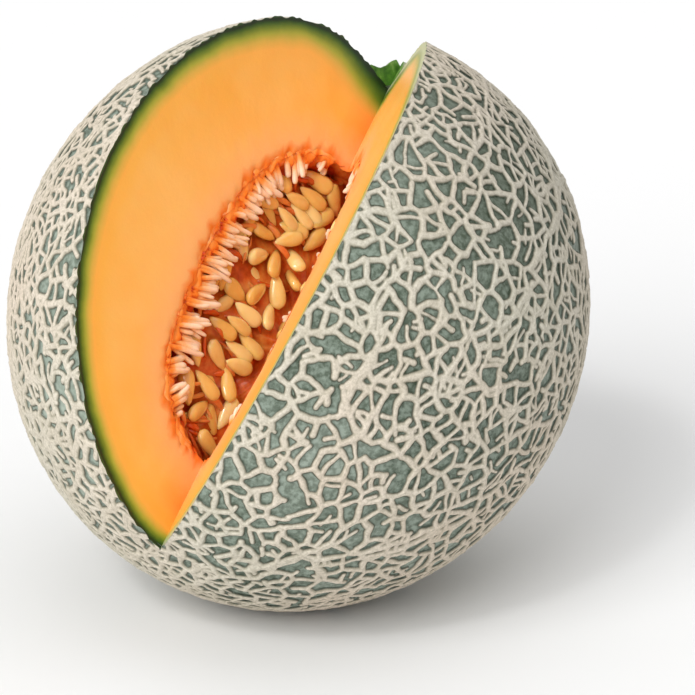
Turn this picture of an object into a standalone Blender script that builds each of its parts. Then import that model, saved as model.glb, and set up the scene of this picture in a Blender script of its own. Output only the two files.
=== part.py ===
"""A netted melon with one wedge cut out: the fruit, the stub of its stalk and the seeds in their pulp.

The fruit is modelled upright in its own frame, the stem end at +Z and the left cut face on the XZ plane,
and is then leant over to the pose in which it rests on a small flat spot at the origin.
"""

import math

import bmesh
import bpy
import numpy as np
from mathutils import Matrix, Vector
from mathutils.bvhtree import BVHTree

MM = 0.001

# The fruit, in metres.
EQUATOR_RADIUS = 77.0 * MM
POLE_RADIUS = 81.4 * MM
STEM_OFFSET = 8.0 * MM  # the stalk stands this far off the long axis, towards the left cut face
DIMPLE_DEPTH = 9.0 * MM
DIMPLE_RADIUS = 24.0 * MM
SCAR_DEPTH = 1.2 * MM  # at the blossom end
SCAR_RADIUS = 9.0 * MM
FLAT_DEPTH = 2.2 * MM  # how much of the skin's lowest cap the resting spot flattens

# How it leans where it rests, in degrees.
LEAN = 54.9  # the long axis from upright
HEADING = 59.1  # the way the stem end points, from +X
ROLL = 160.4  # the left cut face round the long axis

# The wedge that was cut out.
WEDGE_ANGLE = 58.0
WEDGE_APEX = 6.5 * MM  # the wedge's inner edge from the long axis, at the fruit's middle
WEDGE_TILT = 0.051  # how much further out the inner edge runs for each metre towards the stem
PLAY = 0.35 * MM  # between pieces that touch

# The seed cavity.
CAVITY_RADIUS = 35.6 * MM
CAVITY_HALF_LENGTH = 48.0 * MM
CAVITY_FULLNESS = 2.6  # 2 is an ellipse along its length, and more has fuller ends
CAVITY_DROP = 5.2 * MM  # its centre below the fruit's
CAVITY_STEPS = (26, 18)

# The raised net.
NET_SEED = 11
NET_CELLS = 385
NET_HEIGHT = 1.2 * MM
NET_HALF_TOP = 0.8 * MM
NET_HALF_FOOT = 1.8 * MM
SHORTEST_RIDGE = 1.3 * MM
CRACKS = 5  # long ridges from the stem to the blossom end
CRACK_GAP = 5.4 * MM  # from such a ridge to the cells' middles on both sides
CRACK_STEP = 11.5 * MM
BARE_COLLAR = 11.0 * MM  # round the stalk the net fades out

# Fibres that stand out of the cavity's cut edges.
FIBRE_SEED = 5
FIBRES_PER_FACE = 34
FIBRE_LENGTH = (2.5 * MM, 8.5 * MM)
FIBRE_WIDTH = (2.2 * MM, 4.0 * MM)
FIBRE_ROOT = 2.2 * MM

# The seeds and the pulp that they stand in.
SEED_LENGTH = 10.6 * MM
SEED_WIDTH = 4.9 * MM
SEED_THICKNESS = 2.3 * MM
SEED_SIDES = 6
SEED_COUNT = 92
SEED_SEED = 23
PULP_INSET = 5.4 * MM  # from the pulp to the cut faces
PULP_STEPS = (22, 16)

# The stub of the stalk.
STALK_RADIUS = 5.6 * MM
STALK_FLARE = 11.5 * MM  # the radius of its foot
STALK_HEIGHT = 9.0 * MM  # above the dimple's floor
STALK_ROOT = 4.6 * MM
STALK_SIDES = 15


def clear_scene():
    for old in list(bpy.data.objects):
        bpy.data.objects.remove(old)


def material(name, colour, roughness):
    made = bpy.data.materials.new(name)
    made.use_nodes = True
    shader = made.node_tree.nodes["Principled BSDF"]
    shader.inputs["Base Color"].default_value = (*colour, 1.0)
    shader.inputs["Roughness"].default_value = roughness
    shader.inputs["Metallic"].default_value = 0.0
    return made


def object_of(name, mesh):
    made = bpy.data.objects.new(name, mesh)
    bpy.context.scene.collection.objects.link(made)
    return made


def mesh_of(name, bm):
    bmesh.ops.recalc_face_normals(bm, faces=bm.faces)
    mesh = bpy.data.meshes.new(name)
    bm.to_mesh(mesh)
    bm.free()
    return mesh


def lean_matrix():
    """From the fruit's own frame to the pose it rests in, with the flat spot's centre at the origin."""
    turn = (
        Matrix.Rotation(math.radians(HEADING), 4, "Z")
        @ Matrix.Rotation(math.radians(LEAN), 4, "Y")
        @ Matrix.Rotation(math.radians(ROLL), 4, "Z")
    )
    down = turn.inverted() @ Vector((0, 0, -1))
    squared = Vector((EQUATOR_RADIUS**2, EQUATOR_RADIUS**2, POLE_RADIUS**2))
    reach = math.sqrt(sum(squared[i] * down[i] ** 2 for i in range(3)))
    lowest = turn @ Vector([squared[i] * down[i] / reach for i in range(3)])
    return Matrix.Translation((-lowest.x, -lowest.y, reach - FLAT_DEPTH)) @ turn


def bell(distance, radius):
    return math.exp(-((distance / radius) ** 2))


def skin_point(direction, height=0.0):
    """A point of the skin along a direction from the fruit's middle, raised by height."""
    x, y, z = direction
    point = Vector((EQUATOR_RADIUS * x, EQUATOR_RADIUS * y, POLE_RADIUS * z))
    outward = Vector((x / EQUATOR_RADIUS, y / EQUATOR_RADIUS, z / POLE_RADIUS)).normalized()
    point += outward * height
    if z > 0:
        from_stalk = math.hypot(point.x - STEM_OFFSET, point.y)
        point.z -= DIMPLE_DEPTH * bell(from_stalk, DIMPLE_RADIUS)
    else:
        point.z += SCAR_DEPTH * bell(math.hypot(point.x, point.y), SCAR_RADIUS)
    return point


def crack_points(rng):
    """Points in pairs on both sides of the long ridges, so that the cells' borders run along them."""
    points = []
    steps = int(math.pi * EQUATOR_RADIUS / CRACK_STEP)
    for crack in range(CRACKS):
        start = 2 * math.pi * (crack + rng.uniform(-0.25, 0.25)) / CRACKS
        sway, phase = rng.uniform(0.06, 0.16), rng.uniform(0, 2 * math.pi)
        first = 2 + rng.integers(0, 3)
        last = steps - 2 - rng.integers(0, 3)
        for step in range(first, last):
            polar = math.pi * (step + rng.uniform(0.3, 0.7)) / steps
            azimuth = start + sway * math.sin(2.2 * polar + phase)
            gap = CRACK_GAP / (EQUATOR_RADIUS * math.sin(polar))
            for side in (-1, 1):
                turn = azimuth + side * gap * rng.uniform(0.9, 1.25)
                points.append(
                    (math.sin(polar) * math.cos(turn), math.sin(polar) * math.sin(turn), math.cos(polar))
                )
    return points


def net_points():
    """The middles of the net's cells as unit directions: the long ridges' pairs, then the roomiest of some draws."""
    rng = np.random.default_rng(NET_SEED)
    points = np.zeros((NET_CELLS, 3))
    pairs = crack_points(rng)
    count = 0
    for pair in pairs:
        if count == 0 or (points[:count] @ np.array(pair)).max() < math.cos(0.6 * CRACK_STEP / EQUATOR_RADIUS):
            points[count] = pair
            count += 1
    for place in range(count, NET_CELLS):
        draws = rng.normal(size=(9, 3))
        draws /= np.linalg.norm(draws, axis=1)[:, None]
        nearest = (draws @ points[:place].T).max(axis=1)
        points[place] = draws[nearest.argmin()]
    return points


def cells_of(points):
    """The Voronoi cells of unit directions: the corners, and each cell's ring of corner numbers."""
    hull = bmesh.new()
    for point in points:
        hull.verts.new(point)
    bmesh.ops.convex_hull(hull, input=hull.verts)
    hull.normal_update()
    hull.verts.index_update()
    hull.faces.index_update()
    middles = [face.calc_center_median() for face in hull.faces]
    corners = [face.normal * math.copysign(1, face.normal.dot(middles[face.index])) for face in hull.faces]
    rings = []
    for vert in hull.verts:
        across = vert.co.orthogonal().normalized()
        up = vert.co.cross(across)
        around = sorted(
            vert.link_faces,
            key=lambda face: math.atan2(middles[face.index].dot(up), middles[face.index].dot(across)),
        )
        rings.append([face.index for face in around])
    hull.free()
    return corners, without_short_sides(corners, rings)


def without_short_sides(corners, rings):
    """The rings with corners that nearly touch taken as one."""
    stand_in = list(range(len(corners)))

    def kept(i):
        while stand_in[i] != i:
            i = stand_in[i]
        return i

    for ring in rings:
        for i, j in zip(ring, ring[1:] + ring[:1]):
            if (corners[i] - corners[j]).length * EQUATOR_RADIUS < SHORTEST_RIDGE:
                stand_in[kept(i)] = kept(j)
    short = []
    for ring in rings:
        ring = [kept(i) for i in ring]
        ring = [i for i, before in zip(ring, ring[-1:] + ring[:-1]) if i != before]
        if len(ring) > 2:
            short.append(ring)
    return short


def net_share(direction):
    """The share of the ridges' height at a direction: all of it, and less on the collar round the stalk."""
    place = skin_point(direction)
    if place.z < 0:
        return 1.0
    from_stalk = math.hypot(place.x - STEM_OFFSET, place.y)
    return 1 - 0.85 * bell(from_stalk, BARE_COLLAR)


def ring_of_points(bm, ring, corners, inset, height):
    """The ring's corners drawn in towards the cell's middle, raised from the skin."""
    middle = sum((corners[i] for i in ring), Vector()) / len(ring)
    reach = sum((corners[i] - middle).length for i in ring) / len(ring) * EQUATOR_RADIUS
    share = min(0.6, inset / (0.86 * reach))
    points = [corners[i].lerp(middle, share).normalized() for i in ring]
    return [bm.verts.new(skin_point(point, height * net_share(point))) for point in points]


def netted_skin():
    """The closed skin: each cell is a low floor, and flat-topped ridges stand between the cells."""
    rng = np.random.default_rng(NET_SEED)
    corners, rings = cells_of(net_points())
    bm = bmesh.new()
    across_ridge = {}
    round_corner = {}
    for ring in rings:
        wide = rng.uniform(0.8, 1.25)
        top = ring_of_points(bm, ring, corners, NET_HALF_TOP * wide, NET_HEIGHT)
        foot = ring_of_points(bm, ring, corners, NET_HALF_FOOT * wide, 0.0)
        bm.faces.new(foot)
        for k in range(len(ring)):
            after = (k + 1) % len(ring)
            bm.faces.new((top[k], top[after], foot[after], foot[k]))
            ends = sorted(((ring[k], top[k]), (ring[after], top[after])), key=lambda end: end[0])
            across_ridge.setdefault((ends[0][0], ends[1][0]), []).append((ends[0][1], ends[1][1]))
            round_corner.setdefault(ring[k], []).append(top[k])
    for (a, b), (c, d) in across_ridge.values():
        bm.faces.new((a, b, d, c))
    for corner, tops in round_corner.items():
        across = corners[corner].orthogonal().normalized()
        up = corners[corner].cross(across)
        centre = sum((vert.co for vert in tops), Vector()) / len(tops)
        tops.sort(key=lambda vert: math.atan2((vert.co - centre).dot(up), (vert.co - centre).dot(across)))
        bm.faces.new(tops)
    bmesh.ops.triangulate(bm, faces=bm.faces, quad_method="SHORT_EDGE")
    return mesh_of("fruit", bm)


def swell(polar):
    """How far the cavity's full ends reach past an ellipse at a polar angle, as a factor."""
    power = CAVITY_FULLNESS
    return (math.sin(polar) ** power + abs(math.cos(polar)) ** power) ** (-1 / power)


def rounded_body(radius, half_length, steps, bumps):
    """A closed body of rings round Z, full at its ends, its radius changed by bumps(azimuth, polar)."""
    sides, rows = steps
    bm = bmesh.new()
    rings = []
    for row in range(1, rows):
        polar = math.pi * row / rows
        full = swell(polar)
        ring = []
        for side in range(sides):
            azimuth = 2 * math.pi * side / sides
            scale = full * (1 + bumps(azimuth, polar))
            ring.append(
                bm.verts.new(
                    (
                        radius * scale * math.sin(polar) * math.cos(azimuth),
                        radius * scale * math.sin(polar) * math.sin(azimuth),
                        half_length * full * math.cos(polar),
                    )
                )
            )
        rings.append(ring)
    top = bm.verts.new((0, 0, half_length))
    bottom = bm.verts.new((0, 0, -half_length))
    for side in range(sides):
        after = (side + 1) % sides
        bm.faces.new((top, rings[0][side], rings[0][after]))
        bm.faces.new((bottom, rings[-1][after], rings[-1][side]))
        for low, high in zip(rings[1:], rings[:-1]):
            bm.faces.new((high[side], low[side], low[after], high[after]))
    return bm


def cavity_bumps(azimuth, polar):
    return 0.022 * math.sin(6 * azimuth + 3 * math.cos(polar)) * math.sin(polar)


def cavity_cutter():
    bm = rounded_body(CAVITY_RADIUS, CAVITY_HALF_LENGTH, CAVITY_STEPS, cavity_bumps)
    bmesh.ops.translate(bm, verts=bm.verts, vec=(0, 0, -CAVITY_DROP))
    return object_of("cavity_cutter", mesh_of("cavity_cutter", bm))


def wedge_apex(z):
    """The point of the wedge's inner edge at a height along the fruit."""
    return Vector((WEDGE_APEX + WEDGE_TILT * z, 0, z))


def cut_face(side):
    """The left (0) or right (1) cut face: its direction away from the inner edge, its normal into the notch."""
    turn = math.radians(WEDGE_ANGLE * side)
    out = Vector((math.cos(turn), math.sin(turn), 0))
    into = Vector((-out.y, out.x, 0)) * (1 if side == 0 else -1)
    return out, into


def wedge_prism(name, back=0.0, reach=0.2, half_height=0.15):
    """The wedge as a three-cornered prism, both of its sides moved back into the fruit by back."""
    bm = bmesh.new()
    half = math.radians(WEDGE_ANGLE / 2)
    shift = Vector((-math.cos(half), -math.sin(half), 0)) * (back / math.sin(half))
    ends = []
    for z in (-half_height, half_height):
        apex = wedge_apex(z) + shift
        corners = [apex]
        for side in (0, 1):
            corners.append(apex + cut_face(side)[0] * reach)
        ends.append([bm.verts.new(corner) for corner in corners])
    low, high = ends
    bm.faces.new(low)
    bm.faces.new(high)
    for i in range(3):
        j = (i + 1) % 3
        bm.faces.new((low[i], low[j], high[j], high[i]))
    return object_of(name, mesh_of(name, bm))


def tapered_spike(bm, root, tip, width, flat):
    """A four-sided fibre from root to tip, blunt towards the tip."""
    along = (tip - root).normalized()
    across = along.cross(flat).normalized()
    other = along.cross(across)
    rings = []
    for share, size in ((0.0, 1.0), (0.72, 0.85)):
        middle = root.lerp(tip, share)
        ring = [
            bm.verts.new(middle + across * x * width * size / 2 + other * y * width * size / 2.6)
            for x, y in ((1, 0), (0, 1), (-1, 0), (0, -1))
        ]
        rings.append(ring)
    point = bm.verts.new(tip)
    bm.faces.new(rings[0])
    for i in range(4):
        j = (i + 1) % 4
        for low, high in zip(rings, rings[1:]):
            bm.faces.new((low[i], low[j], high[j], high[i]))
        bm.faces.new((rings[-1][i], rings[-1][j], point))


def cavity_edge(side, polar):
    """Where the cavity's wall meets a cut face, at a polar angle from the cavity's top."""
    out, _ = cut_face(side)
    full = swell(polar)
    z = CAVITY_HALF_LENGTH * full * math.cos(polar) - CAVITY_DROP
    start = wedge_apex(z)
    ring = CAVITY_RADIUS * full * math.sin(polar)
    across = start.x * out.x
    along = -across + math.sqrt(max(0.0, across**2 - start.x**2 + ring**2))
    return start + out * along


def edge_fibres():
    """The fibres of both cut edges as one collection of closed spikes."""
    rng = np.random.default_rng(FIBRE_SEED)
    group = bpy.data.collections.new("fibres")
    bpy.context.scene.collection.children.link(group)
    for side in (0, 1):
        out, into = cut_face(side)
        for number in range(FIBRES_PER_FACE):
            polar = math.pi * (0.16 + 0.7 * (number + rng.uniform(-0.3, 1.3)) / FIBRES_PER_FACE)
            edge = cavity_edge(side, polar)
            sideways = -0.75 * math.cos(polar) + rng.uniform(-0.3, 0.3)
            inward = (-out * math.sin(polar) + Vector((0, 0, sideways))).normalized()
            sunk = -into * rng.uniform(0.9, 2.4) * MM
            width = rng.uniform(*FIBRE_WIDTH)
            tip = edge + inward * rng.uniform(*FIBRE_LENGTH) + into * rng.uniform(-1.2, 0.8) * MM
            bm = bmesh.new()
            tapered_spike(bm, edge - inward * FIBRE_ROOT + sunk, tip + sunk, width, into)
            name = f"fibre_{side}_{number:02d}"
            spike = bpy.data.objects.new(name, mesh_of(name, bm))
            group.objects.link(spike)
    return group


def cut(target, cutter, operation="DIFFERENCE"):
    """Adds a Boolean of an object or of a collection to target."""
    step = target.modifiers.new(operation.lower(), "BOOLEAN")
    step.operation = operation
    step.solver = "EXACT"
    if isinstance(cutter, bpy.types.Collection):
        step.solver = "MANIFOLD"
        step.operand_type = "COLLECTION"
        step.collection = cutter
    else:
        step.object = cutter


def apply_modifiers(target):
    """Makes what the modifiers give the object's own mesh."""
    graph = bpy.context.evaluated_depsgraph_get()
    made = bpy.data.meshes.new_from_object(target.evaluated_get(graph))
    target.modifiers.clear()
    target.data = made


def drop(*helpers):
    for helper in helpers:
        if isinstance(helper, bpy.types.Collection):
            drop(*helper.objects)
            bpy.data.collections.remove(helper)
        else:
            bpy.data.objects.remove(helper)


def stalk_body(extra_radius, extra_depth):
    """The stalk's stub: a ribbed short column in the dimple, its foot sunk into the fruit."""
    floor = skin_point(Vector((STEM_OFFSET / EQUATOR_RADIUS, 0, 1)).normalized()).z
    flare = STALK_FLARE / STALK_RADIUS
    levels = (
        (floor - STALK_ROOT - extra_depth, 0.8 * flare),
        (floor + 0.6 * MM, flare),
        (floor + 0.26 * STALK_HEIGHT, 1.45),
        (floor + 0.5 * STALK_HEIGHT, 1.18),
        (floor + 0.85 * STALK_HEIGHT, 0.95),
        (floor + STALK_HEIGHT, 0.75),
    )
    bm = bmesh.new()
    rings = []
    for z, scale in levels:
        ring = []
        for side in range(STALK_SIDES):
            turn = 2 * math.pi * side / STALK_SIDES
            radius = STALK_RADIUS * scale * (1 + 0.06 * math.cos(5 * turn)) + extra_radius
            ring.append(bm.verts.new((STEM_OFFSET + radius * math.cos(turn), radius * math.sin(turn), z)))
        rings.append(ring)
    bm.faces.new(rings[0])
    bm.faces.new(rings[-1])
    for low, high in zip(rings, rings[1:]):
        for i in range(STALK_SIDES):
            j = (i + 1) % STALK_SIDES
            bm.faces.new((low[i], low[j], high[j], high[i]))
    return bm


def make_fruit():
    fruit = object_of("fruit", netted_skin())
    wedge = wedge_prism("wedge_cutter")
    cavity = cavity_cutter()
    socket = object_of("socket_cutter", mesh_of("socket_cutter", stalk_body(PLAY, PLAY)))
    fibres = edge_fibres()
    cut(fruit, wedge)
    cut(fruit, cavity)
    cut(fruit, socket)
    apply_modifiers(fruit)
    cut(fruit, fibres, "UNION")
    apply_modifiers(fruit)
    drop(wedge, cavity, socket, fibres)
    fruit.data.materials.clear()
    fruit.data.materials.append(material("rind_net_and_flesh", (0.62, 0.6, 0.5), 0.6))
    return fruit


def floor_block(size=0.4):
    """All that lies under the surface the fruit rests on."""
    bm = bmesh.new()
    bmesh.ops.create_cube(bm, size=size)
    bmesh.ops.translate(bm, verts=bm.verts, vec=(0, 0, -size / 2))
    return object_of("floor_cutter", mesh_of("floor_cutter", bm))


def make_stalk():
    stalk = object_of("stalk_stub", mesh_of("stalk_stub", stalk_body(0, 0)))
    wedge = wedge_prism("stalk_cutter")
    cut(stalk, wedge)
    apply_modifiers(stalk)
    drop(wedge)
    stalk.data.materials.clear()
    stalk.data.materials.append(material("stalk", (0.2, 0.32, 0.08), 0.6))
    return stalk


def seed_body(root, along, flat, length):
    """A flat drop-shaped seed from its pointed root: rings of few sides that swell towards the far end."""
    across = along.cross(flat).normalized()
    thin = along.cross(across)
    bm = bmesh.new()
    rings = []
    for share, size in ((0.2, 0.56), (0.6, 1.0), (0.9, 0.68)):
        ring = []
        for side in range(SEED_SIDES):
            turn = 2 * math.pi * side / SEED_SIDES
            offset = across * math.cos(turn) * SEED_WIDTH + thin * math.sin(turn) * SEED_THICKNESS
            ring.append(bm.verts.new(root + along * length * share + offset * size / 2))
        rings.append(ring)
    start = bm.verts.new(root)
    end = bm.verts.new(root + along * length)
    for i in range(SEED_SIDES):
        j = (i + 1) % SEED_SIDES
        bm.faces.new((start, rings[0][i], rings[0][j]))
        bm.faces.new((end, rings[-1][j], rings[-1][i]))
        for low, high in zip(rings, rings[1:]):
            bm.faces.new((low[i], low[j], high[j], high[i]))
    return bm


def pulp_bumps(azimuth, polar):
    return 0.03 * math.sin(5 * azimuth + 4 * polar) * math.sin(polar) - 0.02


def pulp_core():
    """The pulp that fills the cavity behind the notch, torn back a little from both cut faces."""
    bm = rounded_body(CAVITY_RADIUS - 2.2 * MM, CAVITY_HALF_LENGTH - 1.2 * MM, PULP_STEPS, pulp_bumps)
    bmesh.ops.translate(bm, verts=bm.verts, vec=(0, 0, -CAVITY_DROP))
    core = object_of("seed_mass", mesh_of("seed_mass", bm))
    scoop = wedge_prism("scoop", PULP_INSET)
    cut(core, scoop)
    apply_modifiers(core)
    drop(scoop)
    return core


def seed_places(rng):
    """(root, direction, flat) of each seed: rows on the two torn slopes of the pulp, pointing out of it."""
    places = []
    for number in range(SEED_COUNT):
        side = number % 2
        out, into = cut_face(side)
        polar = math.pi * (0.17 + 0.68 * (number // 2 + rng.uniform(0.1, 0.9)) / (SEED_COUNT // 2))
        full = swell(polar)
        most = CAVITY_RADIUS * full * math.sin(polar) - 14.5 * MM
        reach = rng.uniform(-4.0 * MM, max(2.0 * MM, most))
        start = wedge_apex(CAVITY_HALF_LENGTH * full * math.cos(polar) * 0.94 - CAVITY_DROP)
        base = start + out * reach - into * (PULP_INSET + rng.uniform(-0.6, 1.0) * MM)
        lean = out * rng.uniform(-0.8, 0.8) + Vector((0, 0, 1)) * rng.uniform(-1.0, 1.0)
        along = (lean * 1.15 + into * rng.uniform(0.18, 0.55)).normalized()
        flat = (into + out * rng.uniform(-0.5, 0.5)).normalized()
        places.append((base, along, flat))
    return places


def touches(tree, bm, growth=1.18):
    """Whether a small body, grown a little about its middle, meets the surface in tree."""
    grown = bm.copy()
    middle = sum((vert.co for vert in grown.verts), Vector()) / len(grown.verts)
    for vert in grown.verts:
        vert.co = middle + (vert.co - middle) * growth
    found = BVHTree.FromBMesh(grown).overlap(tree)
    grown.free()
    return bool(found)


def make_seed_mass(fruit):
    """The pulp and its seeds; a seed that would touch the flesh or a fibre is left out."""
    core = pulp_core()
    tree = BVHTree.FromObject(fruit, bpy.context.evaluated_depsgraph_get())
    rng = np.random.default_rng(SEED_SEED)
    group = bpy.data.collections.new("seeds")
    bpy.context.scene.collection.children.link(group)
    for number, (base, along, flat) in enumerate(seed_places(rng)):
        length = SEED_LENGTH * rng.uniform(0.88, 1.06)
        bm = seed_body(base - along * 0.25 * length, along, flat, length)
        if touches(tree, bm):
            bm.free()
            continue
        name = f"seed_{number:02d}"
        group.objects.link(bpy.data.objects.new(name, mesh_of(name, bm)))
    cut(core, group, "UNION")
    apply_modifiers(core)
    drop(group)
    core.data.materials.clear()
    core.data.materials.append(material("seeds_and_pulp", (0.85, 0.5, 0.18), 0.35))
    return core


def lay_down(pieces):
    """Leans the pieces into the resting pose and flattens the fruit where it meets the floor."""
    pose = lean_matrix()
    for piece in pieces:
        piece.data.transform(pose)
    floor = floor_block()
    cut(pieces[0], floor)
    apply_modifiers(pieces[0])
    drop(floor)
    for piece in pieces:
        piece.data.shade_smooth()
        piece.data.set_sharp_from_angle(angle=math.radians(35))


def main():
    clear_scene()
    fruit = make_fruit()
    lay_down([fruit, make_stalk(), make_seed_mass(fruit)])


main()
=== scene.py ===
import math

import bmesh
import bpy
import numpy as np
from mathutils import Matrix, Vector
from mathutils.kdtree import KDTree


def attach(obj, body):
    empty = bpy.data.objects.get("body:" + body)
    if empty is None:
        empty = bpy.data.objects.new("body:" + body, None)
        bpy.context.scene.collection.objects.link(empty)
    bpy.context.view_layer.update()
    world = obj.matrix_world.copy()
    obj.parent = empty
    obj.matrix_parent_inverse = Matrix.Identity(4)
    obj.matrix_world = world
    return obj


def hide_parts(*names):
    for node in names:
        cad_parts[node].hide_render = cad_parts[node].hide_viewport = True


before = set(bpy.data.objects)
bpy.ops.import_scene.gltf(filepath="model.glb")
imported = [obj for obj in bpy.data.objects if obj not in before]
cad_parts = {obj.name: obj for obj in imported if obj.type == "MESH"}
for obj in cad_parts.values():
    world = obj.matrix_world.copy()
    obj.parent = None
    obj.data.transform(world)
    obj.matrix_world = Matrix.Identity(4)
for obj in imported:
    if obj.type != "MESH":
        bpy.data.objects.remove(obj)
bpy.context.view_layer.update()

MM = 0.001
UP = np.array((0.0, 0.0, 1.0))

# The fruit, as in the solid model, in metres.
RADII = np.array((77.0, 77.0, 81.4)) * MM
STEM_OFFSET = 8.0 * MM
DIMPLE_DEPTH = 9.0 * MM
DIMPLE_RADIUS = 24.0 * MM
SCAR_DEPTH = 1.2 * MM
SCAR_RADIUS = 9.0 * MM
FLAT_DEPTH = 2.2 * MM
LEAN, HEADING, ROLL = 54.9, 59.1, 160.4
WEDGE_ANGLE = 58.0
WEDGE_APEX = 6.5 * MM
WEDGE_TILT = 0.051
CAVITY = np.array((35.6, 35.6, 48.0)) * MM
CAVITY_FULLNESS = 2.6
CAVITY_DROP = 5.2 * MM
PULP_INSET = 5.4 * MM
STALK_HEIGHT = 9.0 * MM
STALK_HOLLOW = 0.8 * MM
STALK_BEHIND = 0.12 * MM  # the stub's cut lies this far behind the cut faces, which cover its foot

# The net.
NET_GRID = 336  # grid squares along each side of the six patches that cover the fruit
NET_MARGIN = 9
NET_REACH = 6  # grid squares from a ridge's samples to its foot, at most
NET_PARENTS = 1900
NET_CELL_AREA = 19.0 * MM**2
NET_TRUNKS = 46
NET_BARS = 900
STROKE_STEP = 0.28 * MM
STROKES_NEAR = 8.0 * MM  # the ridges this near to a cut face shape its rim
RIDGE_WIDEST = 1.8 * MM  # from a ridge's middle to its foot, at most
NET_SKIRT = 0.42  # the foot round every ridge, where shade is painted, as a share of the ridge's half-width
NET_SKIRT_DROP = 0.12 * MM
NET_KEPT = 0.62  # the share of the net's triangles that stays, most of it where the ridges bend
NET_PIECES = 6
RIND_DROP = 0.18 * MM
BARE_COLLAR = 11.0 * MM
WELD_STEPS = 1e6  # directions that agree to this many parts of one are one point

# Stretches of the skin, each by its middle's pixel in the photograph and its size: one has a fuller net
# over pale skin, the other finer ridges, with painted shade on them and on the skin.
STRETCHES = {"dense": ((40, 430), 34.0 * MM), "shaded": ((520, 150), 46.0 * MM)}

# Steps of the other meshes' grids, and the limits between which their edges are searched, in metres.
RIND_GRID = 52
FACE_STEPS = 640
# The cut faces' rows of vertices: millimetres under the skin, then shares of what is left to the cavity.
FACE_DEPTHS = (0.0, 0.25, 0.55, 0.9, 1.3, 1.8, 2.4, 3.2, 4.2, 5.5, 7.0, 9.0, 11.5, 14.5, 18.0)
FACE_SHARES = (0.25, 0.45, 0.6, 0.7, 0.78, 0.84, 0.89, 0.93, 0.96, 0.985, 1.0)
SHELF_STEPS = (400, 13)
WALL_STEPS = (110, 66)
PULP_STEPS = (190, 130)
STALK_STEPS = (30, 96)
EDGE_STEPS = 900  # places along the cavity's cut edge where a fibre can stand
RIM_LIMITS, CAVITY_LIMITS, PULP_LIMITS = (0.02, 0.12), (0.0, 0.07), (0.0, 0.08)
HALVINGS = 40
CUTTER_HALF_LENGTH, CUTTER_REACH = 0.12, 0.2

# Fibres, seeds and strands of pulp, each range as its least and most.
FIBRE_CLUMPS = (16, 7)  # along the left and the right cut edge
FIBRE_LENGTH, FIBRE_WIDTH = (5.8, 10.2), (1.0, 1.7)  # in millimetres
FIBRE_SHARES = np.array((-0.35, -0.1, 0.15, 0.4, 0.62, 0.8, 0.92, 0.98, 1.0))
FIBRE_PROFILE = np.array((0.7, 0.85, 0.95, 1.0, 1.04, 1.02, 0.86, 0.6, 0.25))
SEED_LENGTH, SEED_WIDTH, SEED_THICKNESS = (9.6, 10.8), (4.6, 5.3), (2.5, 3.0)  # in millimetres
SEED_OUTLINE = ((0, 0.08, 0.25, 0.5, 0.7, 0.86, 0.95, 1.0), (0.08, 0.34, 0.66, 0.93, 1.0, 0.86, 0.56, 0.08))
# Each layer of seeds: its depth behind the cut faces, the least gap between middles, and the tries made.
SEED_LAYERS = ((PULP_INSET - 1.0 * MM, 5.8 * MM, 700), (PULP_INSET + 1.2 * MM, 5.0 * MM, 500))
STRAND_TRIES = 190
STRAND_LENGTH, STRAND_WIDTH = (5, 11), (0.8, 1.9)  # in millimetres
PULP_MIDDLE = np.array((-9.0, -5.0, -5.0)) * MM
PULP_CREST_SEEN = (339, 184)  # the pixel where the pulp stands up to the flesh, at the top of the cavity
PULP_CREST_DEPTH, PULP_CREST_SIZE = 5.0 * MM, 7.0 * MM
# The stub's radius in millimetres at shares of its height.
STALK_PROFILE = ((0, 0.16, 0.28, 0.42, 0.6, 0.86, 1), (9.0, 11.2, 8.6, 7.0, 6.0, 5.1, 4.0))

# The camera, as the photograph was framed.
PHOTO_SIZE = 695
LENS, SENSOR = 172.95, 36.0
CAMERA_OFFSET = (0.0130, -0.8490, 0.2988)  # from the fruit's middle, in metres
CAMERA_PITCH = 70.0

# The suns: name, place that each shines from, width in degrees and strength.
SUNS = (
    ("key", (-0.75, -1.1, 0.95), 40, 1.95),
    ("top", (0.2, 0.1, 1.2), 60, 0.5),
    ("glint", (-0.5, -0.9, 1.1), 6, 0.3),
)
SKY_STRENGTH = 0.54
FLOOR_HALF = 4.0

# The seeds that the photograph shows: the middle's pixel across and down, the way the round end points in
# the picture in degrees clockwise from right, and how far that end is lifted out of the pulp in degrees.
SEEDS_SEEN = (
    (284, 177, 83, 5), (317, 181, 39, 12), (313, 198, 45, 8), (297, 200, 30, 0), (288, 219, 50, 0),
    (301, 215, 50, 0), (310, 213, 52, 4), (323, 219, -40, 0), (315, 240, -45, 5), (294, 229, 20, 0),
    (289, 239, -16, 8), (259, 256, 172, 12), (275, 263, 116, 16), (294, 259, 105, 50), (292, 279, 100, 45),
    (257, 293, 146, 12), (277, 291, 84, 0), (248, 314, 47, 8), (269, 316, 118, 22), (223, 328, 42, 6),
    (239, 325, 35, 0), (251, 346, 50, 6), (239, 351, 36, 0), (239, 366, 24, 2), (207, 385, 62, 14),
    (228, 384, 92, 14),
)


def linear(red, green, blue):
    """A colour given as 0 to 255 display values, as the shader wants it."""
    made = []
    for value in (red, green, blue):
        share = value / 255
        made.append(share / 12.92 if share <= 0.04045 else ((share + 0.055) / 1.055) ** 2.4)
    return (*made, 1.0)


# Geometry of the fruit.


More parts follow.
